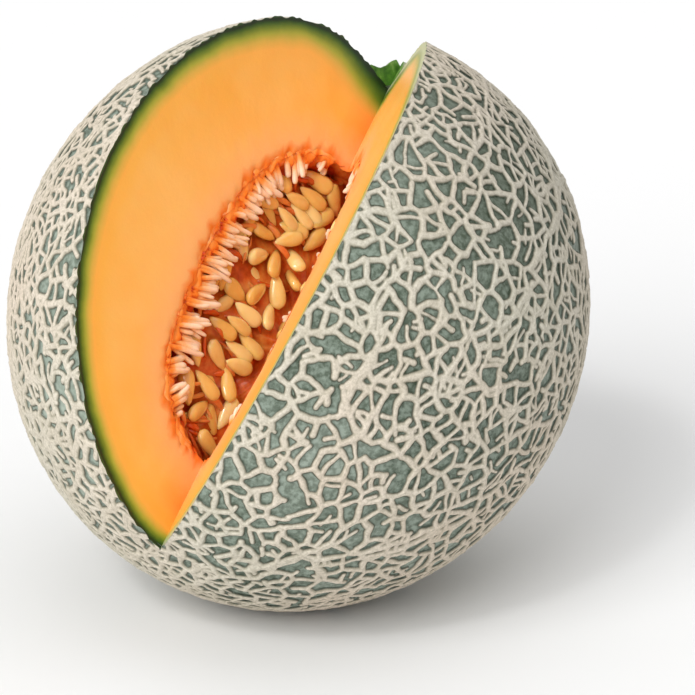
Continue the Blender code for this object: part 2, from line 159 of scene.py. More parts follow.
def pose_matrix():
    """The move from the fruit's own frame, with its long axis along Z, to the frame in which it rests."""
    turn = (
        Matrix.Rotation(math.radians(HEADING), 4, "Z")
        @ Matrix.Rotation(math.radians(LEAN), 4, "Y")
        @ Matrix.Rotation(math.radians(ROLL), 4, "Z")
    )
    down = turn.inverted() @ Vector((0, 0, -1))
    squared = RADII**2
    reach = math.sqrt(sum(squared[i] * down[i] ** 2 for i in range(3)))
    lowest = turn @ Vector([squared[i] * down[i] / reach for i in range(3)])
    return Matrix.Translation((-lowest.x, -lowest.y, reach - FLAT_DEPTH)) @ turn


POSE = np.array(pose_matrix())


def posed(points):
    return points @ POSE[:3, :3].T + POSE[:3, 3]


def unit(vectors):
    return vectors / np.linalg.norm(vectors, axis=-1, keepdims=True)


def xyz(x, y, z):
    """Points from their coordinates, which may be numbers or arrays that fit each other."""
    return np.stack(np.broadcast_arrays(x, y, z), axis=-1)


def sink(points):
    """How far the dimple and the scar move points of the skin along the long axis."""
    x, y = points[..., 0], points[..., 1]
    top = DIMPLE_DEPTH * np.exp(-((x - STEM_OFFSET) ** 2 + y**2) / DIMPLE_RADIUS**2)
    bottom = SCAR_DEPTH * np.exp(-(x**2 + y**2) / SCAR_RADIUS**2)
    return np.where(points[..., 2] > 0, -top, bottom)


def skin(directions, height=0.0):
    """Points of the skin along unit directions, raised by height."""
    points = directions * RADII
    points = points + unit(directions / RADII) * np.asarray(height)[..., None]
    points[..., 2] += sink(points)
    return points


def direction_of(points):
    """The unit directions that points on the skin belong to."""
    points = points.copy()
    points[..., 2] -= sink(points)
    return unit(points / RADII)


def skin_depth(points):
    """How far points are inside the skin, roughly, in metres."""
    raised = points.copy()
    raised[..., 2] -= sink(points)
    return (1 - np.linalg.norm(raised / RADII, axis=-1)) * RADII[0]


def waves(points, size, seed):
    """Smooth noise of about -1 to 1 whose bumps are about size across."""
    rng = np.random.default_rng(seed)
    count = 14
    turns = unit(rng.normal(size=(count, 3))) * rng.uniform(0.6, 1.5, (count, 1)) * math.pi / size
    phases = rng.uniform(0, 2 * math.pi, count)
    total = np.zeros(points.shape[:-1])
    for turn, phase in zip(turns, phases):
        total += np.sin(points @ turn + phase)
    return total / math.sqrt(count)


def face_axes(side):
    """The left (0) or right (1) cut face: its outward direction and its normal into the notch."""
    turn = math.radians(WEDGE_ANGLE * side)
    out = np.array((math.cos(turn), math.sin(turn), 0.0))
    if side == 0:
        return out, np.array((0.0, 1.0, 0.0))
    return out, unit(np.cross(out, (WEDGE_TILT, 0.0, 1.0)))


def apex(z):
    """Points of the wedge's inner edge at heights z."""
    return xyz(WEDGE_APEX + WEDGE_TILT * z, 0.0, z)


def into_wedge(points):
    """Positive inside the wedge that was cut out, in metres from its nearer side."""
    left = points[..., 1]
    right = (points - apex(points[..., 2])) @ face_axes(1)[1]
    return np.minimum(left, right)


# Meshes.


def clip(rows, faces, field):
    """The part of a triangle mesh where field is positive; rows holds what is known at each vertex."""
    inside = field > 0
    count = inside[faces].sum(axis=1)
    kept = [faces[count == 3]]
    one, two = faces[count == 1], faces[count == 2]

    def turned(part, flags):
        first = flags.argmax(axis=1)
        return np.stack([part[np.arange(len(part)), (first + i) % 3] for i in range(3)], axis=1)

    one = turned(one, inside[one])
    two = turned(two, ~inside[two])
    edges = np.concatenate((one[:, [0, 1]], one[:, [0, 2]], two[:, [0, 1]], two[:, [0, 2]]))
    if len(edges):
        low, high = edges.min(axis=1), edges.max(axis=1)
        keys, where = np.unique(low.astype(np.int64) * len(rows) + high, return_inverse=True)
        a, b = keys // len(rows), keys % len(rows)
        share = (field[a] / (field[a] - field[b]))[:, None]
        rows = np.concatenate((rows, rows[a] * (1 - share) + rows[b] * share))
        where = where.reshape(-1) + len(field)
        n1, n2 = len(one), len(two)
        e1, e2 = where[:n1], where[n1 : 2 * n1]
        e3, e4 = where[2 * n1 : 2 * n1 + n2], where[2 * n1 + n2 :]
        kept.append(np.stack((one[:, 0], e1, e2), axis=1))
        kept.append(np.stack((e3, two[:, 1], two[:, 2]), axis=1))
        kept.append(np.stack((e3, two[:, 2], e4), axis=1))
    faces = np.concatenate(kept)
    used, faces = np.unique(faces, return_inverse=True)
    return rows[used], faces.reshape(-1, 3)


def vertex_normals(points, faces):
    """At each vertex the mean way that its triangles face, by their areas."""
    across = np.cross(points[faces[:, 1]] - points[faces[:, 0]], points[faces[:, 2]] - points[faces[:, 0]])
    total = np.zeros_like(points)
    for corner in range(3):
        np.add.at(total, faces[:, corner], across)
    return total / np.maximum(np.linalg.norm(total, axis=1, keepdims=True), 1e-20)


def bare_mesh(name, points, faces, values):
    """A mesh with named values at its vertices."""
    mesh = bpy.data.meshes.new(name)
    mesh.vertices.add(len(points))
    mesh.vertices.foreach_set("co", points.astype(np.float32).ravel())
    mesh.loops.add(faces.size)
    mesh.loops.foreach_set("vertex_index", faces.astype(np.int32).ravel())
    mesh.polygons.add(len(faces))
    mesh.polygons.foreach_set("loop_start", np.arange(0, faces.size, faces.shape[1], dtype=np.int32))
    mesh.update(calc_edges=True)
    for key, numbers in values.items():
        layer = mesh.attributes.new(key, "FLOAT", "POINT")
        layer.data.foreach_set("value", np.asarray(numbers, np.float32).ravel())
    return mesh


def numbers_of(data, field, kind=np.float32):
    """One field of all of a mesh's vertices, corners or values, as an array."""
    numbers = np.empty(len(data) * (3 if field == "co" else 1), kind)
    data.foreach_get(field, numbers)
    return numbers


def thinned(rows, faces, share):
    """A triangle mesh with a share of its triangles left, most where it bends; rows are as in clip."""
    columns = {f"row_{number}": rows[:, number] for number in range(3, rows.shape[1])}
    full = bare_mesh("full", rows[:, :3], faces, columns)
    holder = bpy.data.objects.new("full", full)
    bpy.context.scene.collection.objects.link(holder)
    holder.modifiers.new("fewer", "DECIMATE").ratio = share
    left = bpy.data.meshes.new_from_object(holder.evaluated_get(bpy.context.evaluated_depsgraph_get()))
    kept = [numbers_of(left.vertices, "co").reshape(-1, 3)]
    kept += [numbers_of(left.attributes[key].data, "value")[:, None] for key in columns]
    corners = numbers_of(left.loops, "vertex_index", np.int32).reshape(-1, 3)
    bpy.data.objects.remove(holder)
    for mesh in (full, left):
        bpy.data.meshes.remove(mesh)
    return np.concatenate(kept, axis=1).astype(float), corners


def mesh_piece(name, points, faces, material, values=None, normals=None):
    """A shaded piece in the row's frame, with its named values at the vertices."""
    mesh = bare_mesh(name, points, faces, values or {})
    mesh.shade_smooth()
    if normals is not None:
        mesh.normals_split_custom_set_from_vertices(normals.astype(np.float32))
    mesh.materials.append(material)
    made = bpy.data.objects.new(name, mesh)
    bpy.context.scene.collection.objects.link(made)
    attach(made, "root")
    return made


def grid_faces(rows, columns, closed=False):
    """Triangles of a grid of vertices stored row by row."""
    i, j = np.meshgrid(np.arange(rows - 1), np.arange(columns if closed else columns - 1), indexing="ij")
    after = (j + 1) % columns
    a, b = i * columns + j, i * columns + after
    c, d = (i + 1) * columns + after, (i + 1) * columns + j
    return np.concatenate((np.stack((a, b, c), -1).reshape(-1, 3), np.stack((a, c, d), -1).reshape(-1, 3)))


def capped(points, rings, sides, ends):
    """A closed tube: rings of vertices, stored one after another, and the middles of its two end fans."""
    near = np.arange(sides)
    after = (near + 1) % sides
    far = (rings - 1) * sides
    tip = np.full(sides, rings * sides)
    caps = (np.stack((tip, after, near), 1), np.stack((tip + 1, far + near, far + after), 1))
    return np.concatenate((points, ends)), np.concatenate((grid_faces(rings, sides, closed=True), *caps))


# The net: ridges along the borders of two sizes of cells.


def spread(rng, count):
    """Unit directions, each the roomiest of four draws."""
    points = np.zeros((count, 3))
    for place in range(count):
        tried = unit(rng.normal(size=(4, 3)))
        if place:
            tried = tried[(tried @ points[:place].T).max(axis=1).argmin()][None]
        points[place] = tried[0]
    return points


def voronoi_rings(points):
    """The corners of each unit direction's Voronoi cell, in order round it."""
    hull = bmesh.new()
    for point in points:
        hull.verts.new(point)
    bmesh.ops.convex_hull(hull, input=hull.verts)
    hull.normal_update()
    rings = []
    for vert in hull.verts:
        across = vert.co.orthogonal().normalized()
        up = vert.co.cross(across)
        corners = []
        for face in vert.link_faces:
            middle = face.calc_center_median()
            corner = face.normal * math.copysign(1, face.normal.dot(middle))
            corners.append((math.atan2(middle.dot(up), middle.dot(across)), tuple(corner)))
        rings.append(np.array([corner for _, corner in sorted(corners)]))
    hull.free()
    return rings


def split_cell(rng, ring, found, level=0):
    """Splits a cell by ridges across its longer way until its pieces are small, as cracks grow."""
    middle = unit(ring.mean(axis=0))
    across = unit(np.cross(middle, (0.31, 0.52, 0.79)))
    flat = np.stack((ring @ across, ring @ np.cross(middle, across)), axis=1) * RADII[0]
    after = np.roll(flat, -1, axis=0)
    area = abs((flat[:, 0] * after[:, 1] - flat[:, 1] * after[:, 0]).sum()) / 2
    goal = NET_CELL_AREA * math.exp(rng.normal(0, 0.38)) * (1 + 0.3 * waves(middle * RADII, 50 * MM, 13))
    if area < 1.5 * goal or level > 5:
        return
    spread_of, ways = np.linalg.eigh(np.cov(flat.T))
    angle = math.atan2(ways[1, 1], ways[0, 1]) + rng.normal(0, 0.33)
    centre = flat.mean(axis=0) + ways[:, 1] * rng.normal(0, 0.22) * math.sqrt(spread_of[1])
    side = (flat - centre) @ (math.cos(angle), math.sin(angle))
    pieces, ends = [[], []], []
    for i in range(len(ring)):
        j = (i + 1) % len(ring)
        pieces[int(side[i] > 0)].append(ring[i])
        if (side[i] > 0) != (side[j] > 0):
            share = side[i] / (side[i] - side[j])
            crossing = unit(ring[i] * (1 - share) + ring[j] * share)
            ends.append(crossing)
            for piece in pieces:
                piece.append(crossing)
    if len(ends) != 2 or min(len(piece) for piece in pieces) < 3:
        return
    found.append((*ends, level))
    for piece in pieces:
        split_cell(rng, np.array(piece), found, level + 1)


def straight_strokes(rng):
    """The ends, half-width and height of the ridges between cells and of the short bars inside them."""
    parents, splits = [], []
    for ring in voronoi_rings(spread(rng, NET_PARENTS)):
        for a, b in zip(ring, np.roll(ring, -1, axis=0)):
            if tuple(a) < tuple(b):
                parents.append((a, b))
        split_cell(rng, ring, splits)
    rows = []
    for a, b in parents:
        luck = rng.random()
        if luck < 0.07:
            continue
        if luck < 0.2:
            a, b = (a, b) if rng.random() < 0.5 else (b, a)
            b = unit(np.array(a) + (np.array(b) - a) * rng.uniform(0.4, 0.75))
        rows.append((a, b, rng.uniform(0.66, 0.99), rng.uniform(0.6, 0.8)))
    for a, b, level in splits:
        luck = rng.random()
        if luck < 0.05:
            continue
        if luck < 0.25:
            b = unit(a + (b - a) * rng.uniform(0.35, 0.7))
        thin = 1 - 0.1 * min(level, 2)
        rows.append((a, b, rng.uniform(0.57, 0.85) * thin, rng.uniform(0.5, 0.72) * thin))
    for _ in range(NET_BARS):
        middle = unit(rng.normal(size=3))
        lean = unit(np.cross(middle, rng.normal(size=3))) * rng.uniform(0.7, 1.9) * MM / RADII[0]
        a, b = unit(middle - lean), unit(middle + lean)
        rows.append((a, b, rng.uniform(0.5, 0.68), rng.uniform(0.42, 0.58)))
    starts, stops, half, tall = zip(*rows)
    return np.stack((starts, stops), axis=1), np.array(half) * MM, np.array(tall) * MM


def trunk_strokes(rng):
    """Samples along the long ridges: mostly lengthwise, thicker, thin towards both ends."""
    where, half, tall = [], [], []
    for _ in range(NET_TRUNKS):
        place = unit(rng.normal(size=3) * (1, 1, 0.8))
        north = unit(UP - place * place[2])
        turn = rng.normal(0, 0.3)
        way = north * math.cos(turn) + np.cross(place, north) * math.sin(turn)
        steps = int(rng.uniform(20, 62) * MM / STROKE_STEP)
        curl = rng.normal(0, 2.5)
        sway, phase = rng.uniform(3, 9), rng.uniform(0, 2 * math.pi)
        widest, share = rng.uniform(1.0, 1.3), np.linspace(0, 1, steps)
        for step in range(steps):
            bend = (curl + sway * math.sin(phase + step * STROKE_STEP / (3.2 * MM))) * STROKE_STEP
            way = unit(way + np.cross(place, way) * bend)
            place = unit(place + way * STROKE_STEP / RADII[0])
            way = unit(way - place * (way @ place))
            where.append(place)
        half.append(widest * (0.5 + 0.5 * np.sin(math.pi * share) ** 0.6) * MM)
        tall.append(rng.uniform(0.72, 0.88) * np.minimum(1, 0.6 + 3 * np.minimum(share, 1 - share)) * MM)
    return np.array(where), np.concatenate(half), np.concatenate(tall)


def stretches(points):
    """For each stretch of the skin, 1 in its middle and 0 far from it."""
    return {
        name: np.exp(-((np.linalg.norm(points - on_skin(seen), axis=-1) / size) ** 2))
        for name, (seen, size) in STRETCHES.items()
    }


def net_strokes():
    """Samples along every ridge: direction, half-width and height."""
    rng = np.random.default_rng(7)
    ends, half, tall = straight_strokes(rng)
    length = np.linalg.norm(ends[:, 0] - ends[:, 1], axis=1) * RADII[0]
    steps = np.ceil(length / STROKE_STEP).astype(int) + 1
    edge = np.repeat(np.arange(len(ends)), steps)
    step = np.arange(len(edge)) - np.repeat(np.cumsum(steps) - steps, steps)
    share = (step / np.maximum(steps[edge] - 1, 1))[:, None]
    where = unit(ends[edge, 0] * (1 - share) + ends[edge, 1] * share)
    trunks = trunk_strokes(rng)
    where = np.concatenate((where, trunks[0]))
    half = np.concatenate((half[edge], trunks[1]))
    tall = np.concatenate((tall[edge], trunks[2]))
    place = where * RADII
    bend = [
        0.6 * waves(place, 9 * MM, 90 + axis) + 0.36 * waves(place, 3.4 * MM, 95 + axis)
        + 0.16 * waves(place, 1.9 * MM, 98 + axis)
        for axis in range(3)
    ]
    where = unit(where + MM * np.stack(bend, axis=-1) / RADII[0])
    place = where * RADII
    kinds = stretches(place)
    half = half * (1 + 0.3 * kinds["dense"] - 0.08 * kinds["shaded"])
    half = half * (1 + 0.13 * waves(place, 4 * MM, 3) + 0.08 * waves(place, 1.7 * MM, 5))
    tall = tall * (1 + 0.07 * waves(place, 7 * MM, 4))
    top = place[:, 2] > 0
    collar = np.exp(-((place[:, 0] - STEM_OFFSET) ** 2 + place[:, 1] ** 2) / BARE_COLLAR**2)
    tall = np.minimum(tall, MM) * np.where(top, 1 - 0.8 * collar, 1)
    return where, half, tall


PATCHES = [np.roll(np.eye(3), shift, axis=0) * flip for shift in range(3) for flip in (1, -1)]


def patch_directions(patch, steps, margin=0):
    """Unit directions of a square grid on one of the six patches, with a margin round it."""
    turns = (np.arange(-margin, steps + margin + 1) / steps * 2 - 1) * math.pi / 4
    u, v = np.meshgrid(np.tan(turns), np.tan(turns), indexing="ij")
    return unit(xyz(u, v, 1.0)) @ patch


def rounded(away):
    """A ridge's cross-section: 1 at its middle, 0 at its foot, where away is 1."""
    return np.maximum(1 - np.minimum(away, 1) ** 2.6, 0) ** 0.6


def net_heights(patch, strokes):
    """Height over the skin, and nearness to the middle of a ridge, on one patch's grid."""
    where, half, tall = strokes
    local = where @ patch.T
    near = local[:, 2] > 0.3
    local, half, tall, where = local[near], half[near], tall[near], where[near]
    size = NET_GRID + 2 * NET_MARGIN + 1
    column = (np.arctan2(local[:, :2], local[:, 2:]) / (math.pi / 4) + 1) / 2 * NET_GRID + NET_MARGIN
    inside = ((column > -NET_MARGIN) & (column < size + NET_MARGIN)).all(axis=1)
    column, half, tall, where = column[inside], half[inside], tall[inside], where[inside]
    base = np.round(column).astype(int)
    grid = patch_directions(patch, NET_GRID, NET_MARGIN)
    height = np.full((size, size), -NET_SKIRT_DROP)
    nearness = np.full((size, size), -1.0)
    for step in np.ndindex(2 * NET_REACH + 1, 2 * NET_REACH + 1):
        i, j = (base + step - NET_REACH).T
        fits = (i >= 0) & (i < size) & (j >= 0) & (j < size)
        i, j = i[fits], j[fits]
        away = np.linalg.norm(grid[i, j] - where[fits], axis=1) * RADII[0] / half[fits]
        rise = np.where(away < 1, tall[fits] * rounded(away), (1 - away) / NET_SKIRT * NET_SKIRT_DROP)
        np.maximum.at(height, (i, j), rise)
        np.maximum.at(nearness, (i, j), 1 - away)
    for axis in (0, 1):
        height = 0.6 * height + 0.2 * (np.roll(height, 1, axis) + np.roll(height, -1, axis))
    place = grid * RADII
    grain = 0.05 * waves(place, 1.1 * MM, 6) + 0.04 * waves(place, 2.3 * MM, 8) - 0.05
    crack = np.clip((nearness - 0.72) / 0.2, 0, 1) * np.clip(waves(place, 3.5 * MM, 10), 0, 1)
    height = height + (grain - 0.16 * crack) * MM * np.clip(height / (0.3 * MM), 0, 1)
    cut = slice(NET_MARGIN, -NET_MARGIN)
    return height[cut, cut], nearness[cut, cut]


def welded_patches(steps, per_patch):
    """All six patches as one closed mesh: directions, the values of per_patch and triangles."""
    size = steps + 1
    directions, values, faces = [], [], []
    for number, patch in enumerate(PATCHES):
        directions.append(patch_directions(patch, steps).reshape(-1, 3))
        values.append(per_patch(patch).reshape(size * size, -1))
        part = grid_faces(size, size)
        if np.linalg.det(patch) < 0:
            part = part[:, ::-1]
        faces.append(part + number * size * size)
    directions, values, faces = np.concatenate(directions), np.concatenate(values), np.concatenate(faces)
    keys = np.round(directions * WELD_STEPS).astype(np.int64)
    _, first, where = np.unique(keys, axis=0, return_index=True, return_inverse=True)
    where = where.reshape(-1)
    shared = np.bincount(where)
    mean = np.stack([np.bincount(where, values[:, k]) / shared for k in range(values.shape[1])], axis=1)
    return directions[first], mean, where[faces]


def outward(points, faces):
    """The triangles, each turned so that it faces away from the fruit's middle."""
    a, b, c = points[faces[:, 0]], points[faces[:, 1]], points[faces[:, 2]]
    wrong = np.einsum("ij,ij->i", np.cross(b - a, c - a), a + b + c) < 0
    faces = faces.copy()
    faces[wrong] = faces[wrong][:, ::-1]
    return faces


def on_floor(points, lift=0.0):
    """Points with all that would be under the surface pressed flat onto it."""
    points = points.copy()
    points[:, 2] = np.maximum(points[:, 2], lift)
    return points


def make_net(strokes, material):
    """The raised net with the sunken foot of its ridges, where shade is painted, in pieces of equal size
    round the fruit.
    """
    directions, values, faces = welded_patches(
        NET_GRID, lambda patch: np.stack(net_heights(patch, strokes), axis=-1)
    )
    points = skin(directions, values[:, 0])
    faces = outward(points, faces)
    normals = vertex_normals(points, faces)
    rows = np.concatenate((points, normals, values), axis=1)
    rows, faces = clip(rows, faces, rows[:, 7] + NET_SKIRT)
    rows, faces = thinned(*clip(rows, faces, -into_wedge(rows[:, :3])), NET_KEPT)
    middle = rows[faces][:, :, :3].mean(axis=1)
    turn = np.arctan2(middle[:, 1], middle[:, 0]) % (2 * math.pi)
    made = []
    for number, chosen in enumerate(np.array_split(np.argsort(turn), NET_PIECES)):
        part = faces[chosen]
        used, part = np.unique(part, return_inverse=True)
        own = rows[used]
        made.append(
            mesh_piece(
                f"net_{number}", on_floor(posed(own[:, :3])), part.reshape(-1, 3), material,
                {"height": own[:, 6] / MM, "nearness": own[:, 7], **stretches(own[:, :3])},
                unit(own[:, 3:6] @ POSE[:3, :3].T),
            )
        )
    return made


def make_rind(material):
    """The smooth skin under the net."""
    directions, _, faces = welded_patches(RIND_GRID, lambda patch: np.zeros((RIND_GRID + 1, RIND_GRID + 1)))
    points = skin(directions, 0.04 * MM * waves(directions * RADII, 6 * MM, 9) - RIND_DROP)
    faces = outward(points, faces)
    rows, faces = clip(points, faces, -into_wedge(points))
    mesh_piece("rind", on_floor(posed(rows), 0.1 * MM), faces, material, stretches(rows))


# The cut faces.


def bisect(limits, shape, test):
    """Where test changes from true to false between two limits, for an array of places."""
    low, high = (np.full(shape, limit) for limit in limits)
    for _ in range(HALVINGS):
        middle = (low + high) / 2
        yes = test(middle)
        low, high = np.where(yes, middle, low), np.where(yes, high, middle)
    return (low + high) / 2


def lobes(azimuth, polar):
    """The cavity's six shallow lobes, as a factor of its width."""
    return 1 + 0.022 * np.sin(6 * azimuth + 3 * np.cos(polar)) * np.sin(polar)


def cavity_level(points):
    """Less than 1 inside the seed cavity, 1 on its wall."""
    height = (points[..., 2] + CAVITY_DROP) / CAVITY[2]
    azimuth = np.arctan2(points[..., 1], points[..., 0])
    around = np.hypot(points[..., 0], points[..., 1]) / CAVITY[0]
    around = around / lobes(azimuth, np.arctan2(around, height))
    power = CAVITY_FULLNESS
    return (around**power + np.abs(height) ** power) ** (1 / power)


def face_rays(side, count):
    """Rays on a cut face from the middle of the wedge's inner edge, from the stem to the blossom end."""
    out, _ = face_axes(side)
    up = unit(np.array((WEDGE_TILT, 0.0, 1.0)))
    turns = np.linspace(0, math.pi, count)[:, None]
    return apex(-CAVITY_DROP), np.cos(turns) * up + np.sin(turns) * unit(out - up * (out @ up))


def inner_reach(side, count):
    """How far along each ray the flesh starts, with a ragged edge."""
    middle, rays = face_rays(side, count)
    reach = bisect(CAVITY_LIMITS, count, lambda r: cavity_level(middle + rays * r[:, None]) < 1)
    places = middle + rays * reach[:, None]
    ragged = waves(places, 2.2 * MM, 21 + side) + waves(places, 7 * MM, 31 + side)
    return reach + 0.5 * MM * ragged


def flame(places, side):
    """How far the torn, deeper-coloured tongues reach from the cavity's edge into the flesh, in metres."""
    tongue = (1 - np.clip(np.abs(waves(places, 4.2 * MM, 24 + side)), 0, 1)) ** 1.6
    return (0.8 + 2.5 * tongue) * MM


def crests(strokes_tree, directions):
    """The net's height at directions, from the ridges near them."""
    tree, half, tall = strokes_tree
    heights = []
    for direction in directions:
        near = tree.find_range(direction, RIDGE_WIDEST / RADII[0])
        found = [tall[i] * rounded(away * RADII[0] / half[i]) for _, i, away in near]
        heights.append(max(found, default=0.0))
    return np.array(heights)


def stalk_foot():
    """The middle of the dimple's floor, where the stalk stands."""
    return skin(unit(np.array((STEM_OFFSET / RADII[0], 0.0, 1.0))))


def make_face(side, material, strokes_tree):
    """A cut face from the net's crests in to the seed cavity."""
    middle, rays = face_rays(side, FACE_STEPS)
    rim = bisect(RIM_LIMITS, FACE_STEPS, lambda r: skin_depth(middle + rays * r[:, None]) > 0)
    crest = crests(strokes_tree, direction_of(middle + rays * rim[:, None]))
    crest = np.convolve(np.pad(crest, 2, "edge"), (0.1, 0.22, 0.36, 0.22, 0.1), "valid")
    inner = inner_reach(side, FACE_STEPS)
    reaches = [rim + crest + 0.04 * MM] + [rim - step * MM for step in FACE_DEPTHS]
    rest = rim - FACE_DEPTHS[-1] * MM - inner
    reaches += [inner + rest * (1 - share) for share in FACE_SHARES]
    reach = np.stack(reaches, axis=1)
    points = middle + rays[:, None, :] * reach[:, :, None]
    depth = (rim[:, None] - reach) / MM
    _, normal = face_axes(side)
    to_core = (reach - inner[:, None]) / MM
    torn = to_core - flame(middle + rays * inner[:, None], side)[:, None] / MM
    shallow = np.clip(1 - to_core / 4.5, 0, 1)
    dip = shallow**2 * (0.9 + 0.3 * waves(points, 1.7 * MM, 41 + side)) * MM
    dip += 0.05 * MM * waves(points, 4 * MM, 51) * (depth > 1.5)
    # The strip along the wedge's inner edge stays in place, so that the two faces meet.
    dip *= np.clip(np.minimum(np.arange(FACE_STEPS), np.arange(FACE_STEPS)[::-1]) / 12, 0, 1)[:, None]
    points = points - normal * np.maximum(dip, -0.05 * MM)[..., None]
    faces = grid_faces(*reach.shape)
    if side == 0:
        faces = faces[:, ::-1]
    from_stem = np.linalg.norm(points - stalk_foot(), axis=-1) / MM
    # Painted shade darkens only the left face along the wedge's inner edge, so the right one counts as far
    # from it.
    from_apex = np.linalg.norm((points - apex(points[..., 2]))[..., :2], axis=-1) / MM + 99.0 * side
    mesh_piece(
        f"cut_face_{side}", on_floor(posed(points.reshape(-1, 3))), faces, material,
        {
            "depth": depth, "to_core": to_core, "torn": torn, "from_stem": from_stem,
            # lit_rim: 1 on the right face, whose rim gets painted light.
            "from_apex": from_apex, "lit_rim": np.full(reach.shape, float(side)),
        },
    )


def make_wall(material):
    """The cavity's wall behind the seeds, ribbed by the strands that tie the seeds to it."""
    across, down = WALL_STEPS
    turn = np.radians(np.linspace(WEDGE_ANGLE - 8, 368, across))[:, None]
    polar = np.linspace(0.04, math.pi - 0.04, down)
    power = CAVITY_FULLNESS
    full = (np.sin(polar) ** power + np.abs(np.cos(polar)) ** power) ** (-1 / power)
    wide = full * lobes(turn, polar) * np.sin(polar)
    points = xyz(wide * np.cos(turn), wide * np.sin(turn), full * np.cos(polar)) * CAVITY - UP * CAVITY_DROP
    inward = -unit(points / CAVITY**2)
    points = points + inward * (0.6 * MM * (waves(points, 2.4 * MM, 61) - 0.6))[..., None]
    points = points.reshape(-1, 3)
    rows, faces = clip(points, grid_faces(across, down), -into_wedge(points) - 0.2 * MM)
    mesh_piece("cavity_wall", posed(rows), faces, material)


# Fibres, seeds and pulp.


def tube(path, widths, sides, flat, thin):
    """A closed tube of rings along a path, thinner by thin in the direction flat."""
    along = unit(np.gradient(path, axis=0))
    across = unit(np.cross(along, flat))
    other = np.cross(along, across)
    turns = np.arange(sides) * 2 * math.pi / sides
    ring = np.cos(turns)[None, :, None] * across[:, None, :]
    ring = ring + thin * np.sin(turns)[None, :, None] * other[:, None, :]
    points = (path[:, None, :] + ring * np.asarray(widths)[:, None, None] / 2).reshape(-1, 3)
    return capped(points, len(path), sides, (path[0], path[-1]))


def merged(parts):
    """Parts of (points, faces, value) as one mesh, the value kept at each vertex."""
    points, faces, values, base = [], [], [], 0
    for part, part_faces, value in parts:
        points.append(part)
        faces.append(part_faces + base)
        values.append(np.broadcast_to(value, len(part)))
        base += len(part)
    return np.concatenate(points), np.concatenate(faces), np.concatenate(values)


def cavity_edge(side, count):
    """Points on a cut face along the cavity's edge, with the rays through them."""
    middle, rays = face_rays(side, count)
    shares = np.linspace(0, 1, count)
    reach = np.interp(shares, np.linspace(0, 1, FACE_STEPS), inner_reach(side, FACE_STEPS))
    return middle + rays * reach[:, None], rays


def make_shelf(side, material):
    """The torn ledge of soft flesh under the fibres, from the cavity's cut edge down to the seeds."""
    count, across = SHELF_STEPS
    edge, rays = cavity_edge(side, count)
    _, normal = face_axes(side)
    share = np.linspace(0, 1, across)
    turn = np.linspace(0, 1, count)
    wide = (7.6 + 1.6 * waves(edge, 6 * MM, 55 + side) + 1.2 * waves(edge, 2.4 * MM, 57 + side)) * MM
    wide = wide * np.clip(np.minimum(turn, 1 - turn) / 0.07, 0.3, 1)
    inward = -rays[:, None, :] * (wide[:, None] * share)[..., None]
    points = edge[:, None, :] + rays[:, None, :] * 1.5 * MM + inward
    down = np.interp(share, (0, 0.4, 0.85, 1), (0.45, 0.81, 3.615, 6.75))
    lumps = waves(points, 1.9 * MM, 59 + side) + waves(points, 3.8 * MM, 60 + side)
    down = down + 0.6 * lumps * share**0.5
    points = points - normal * np.maximum(down, 0.3)[..., None] * MM
    faces = grid_faces(count, across)
    if side == 0:
        faces = faces[:, ::-1]
    along = np.broadcast_to(0.34 - 0.48 * share, (count, across))
    points = posed(points.reshape(-1, 3))
    mesh_piece(f"flesh_shelf_{side}", points, faces, material, {"along": along})


def make_fibres(material):
    """Flesh fibres round the cavity's cut edges, in overlapping clumps that reach over the seeds."""
    rng = np.random.default_rng(17)
    sides, share = 8, FIBRE_SHARES
    parts = []
    for side, clumps in enumerate(FIBRE_CLUMPS):
        edge, rays = cavity_edge(side, EDGE_STEPS)
        out, normal = face_axes(side)
        for clump in range(clumps):
            centre = 0.04 + 0.87 * (clump + rng.uniform(0.25, 0.75)) / clumps
            strength, tilt = rng.uniform(0.8, 1.15), rng.normal(0, 0.1)
            for _ in range(5 if centre < 0.14 else 10):
                off = rng.normal(0, 0.018)
                spot = int(np.clip((centre + off) * EDGE_STEPS, 0, EDGE_STEPS - 1))
                layer = rng.random()
                steep = abs(rays[spot, 2]) ** 3
                inset = rng.uniform(1.4, 2.8) * (1 - 0.8 * steep)
                root = edge[spot] - rays[spot] * inset * MM - normal * (0.7 + 2.0 * layer) * MM
                aim = -rays[spot] * steep + (0.42 * UP - out) * (1 - steep)
                aim = unit(aim + UP * (tilt + rng.normal(0, 0.13)) + normal * rng.normal(0.0, 0.07))
                length = rng.uniform(*FIBRE_LENGTH) * strength * (1 - 8 * abs(off)) * MM
                length *= (1 - 0.45 * steep) * np.interp(centre, (0.5, 0.8), (1.0, 1.35))
                width = rng.uniform(*FIBRE_WIDTH) * (1 + 0.35 * steep) * MM
                bend = normal * rng.normal(-0.02, 0.08) + np.cross(normal, aim) * rng.normal(0, 0.1)
                path = root + (aim * share[:, None] + bend * (share**2)[:, None]) * length
                points, faces = tube(path, width * FIBRE_PROFILE, sides, normal, 0.85)
                along = np.append(np.repeat(share, sides), (share[0], share[-1]))
                parts.append((points, faces, 0.28 + 0.72 * along - 0.2 * layer))
    points, faces, value = merged(parts)
    mesh_piece("flesh_fibres", posed(points), faces, material, {"along": value})


def seed_shape(length, width, thickness):
    """A flat drop along Z, pointed at its root and widest two thirds of the way out."""
    rings, sides = 13, 14
    share = np.linspace(0, 1, rings)[:, None]
    outline = np.interp(share, *SEED_OUTLINE)
    turns = np.arange(sides) * 2 * math.pi / sides
    thick = np.sqrt(outline) * np.minimum(1, outline * 1.6) * thickness
    points = xyz(outline * width / 2 * np.cos(turns), thick / 2 * np.sin(turns), share * length)
    return capped(points.reshape(-1, 3), rings, sides, ((0, 0, 0), (0, 0, length)))


